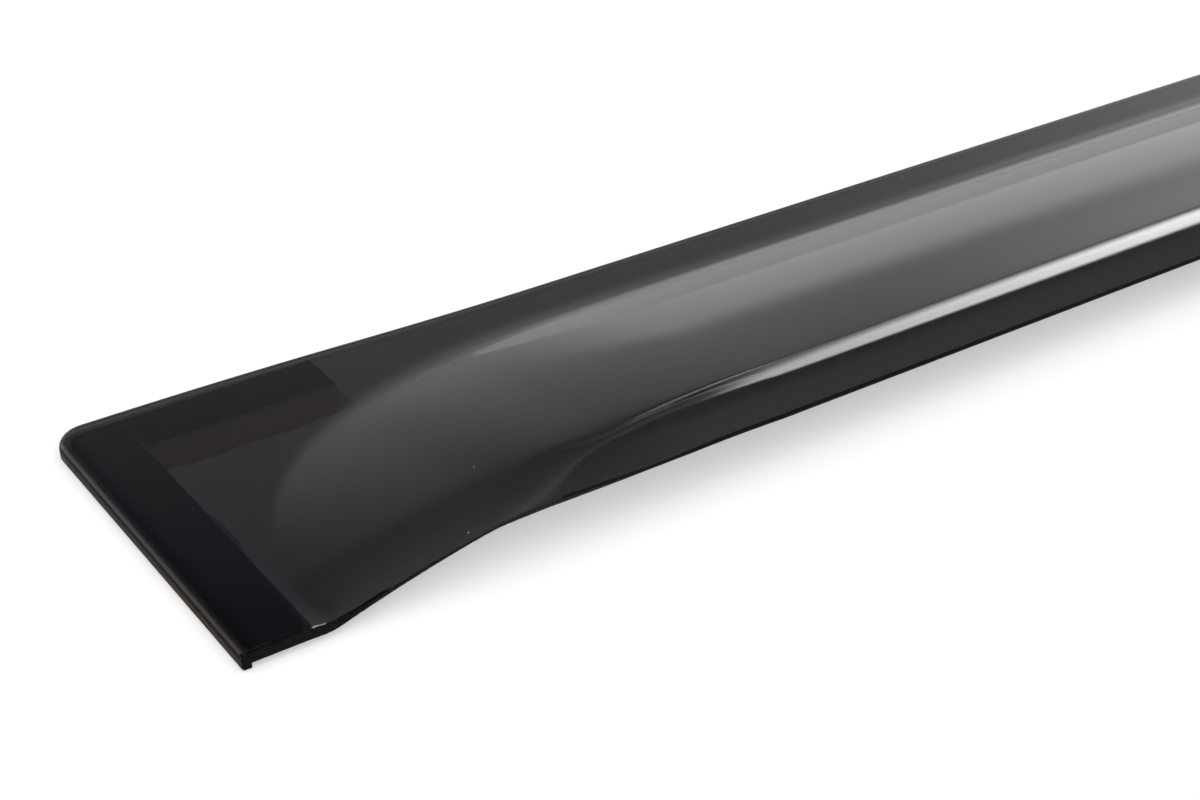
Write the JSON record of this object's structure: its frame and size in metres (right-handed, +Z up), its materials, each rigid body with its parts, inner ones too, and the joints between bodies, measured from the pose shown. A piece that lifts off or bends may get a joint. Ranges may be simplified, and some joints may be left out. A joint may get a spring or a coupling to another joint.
{
  "type": "window rain deflector",
  "caption": "Long smoked acrylic side-window rain deflector: flat flange at the back, crowned body with a turned-down lip, flat taped ends.",
  "frame": {"origin": "middle of the strip's box, on the surface that its tape liners lie on", "axes": "+X along the strip, +Y from the lip at the front to the flange at the back, +Z up"},
  "size_m": [0.9, 0.085, 0.0182],
  "materials": {
    "smoked_acrylic": "polished smoked acrylic, slightly see-through",
    "foam_tape": "matt foam",
    "release_liner": "satin red film"
  },
  "bodies": {
    "root": {"deflector_shell": "smoked_acrylic", "left_end_tape": "foam_tape", "left_flange_tape": "foam_tape", "left_end_liner": "release_liner", "left_flange_liner": "release_liner", "right_end_tape": "foam_tape", "right_flange_tape": "foam_tape", "right_end_liner": "release_liner", "right_flange_liner": "release_liner"}
  },
  "joints": []
}
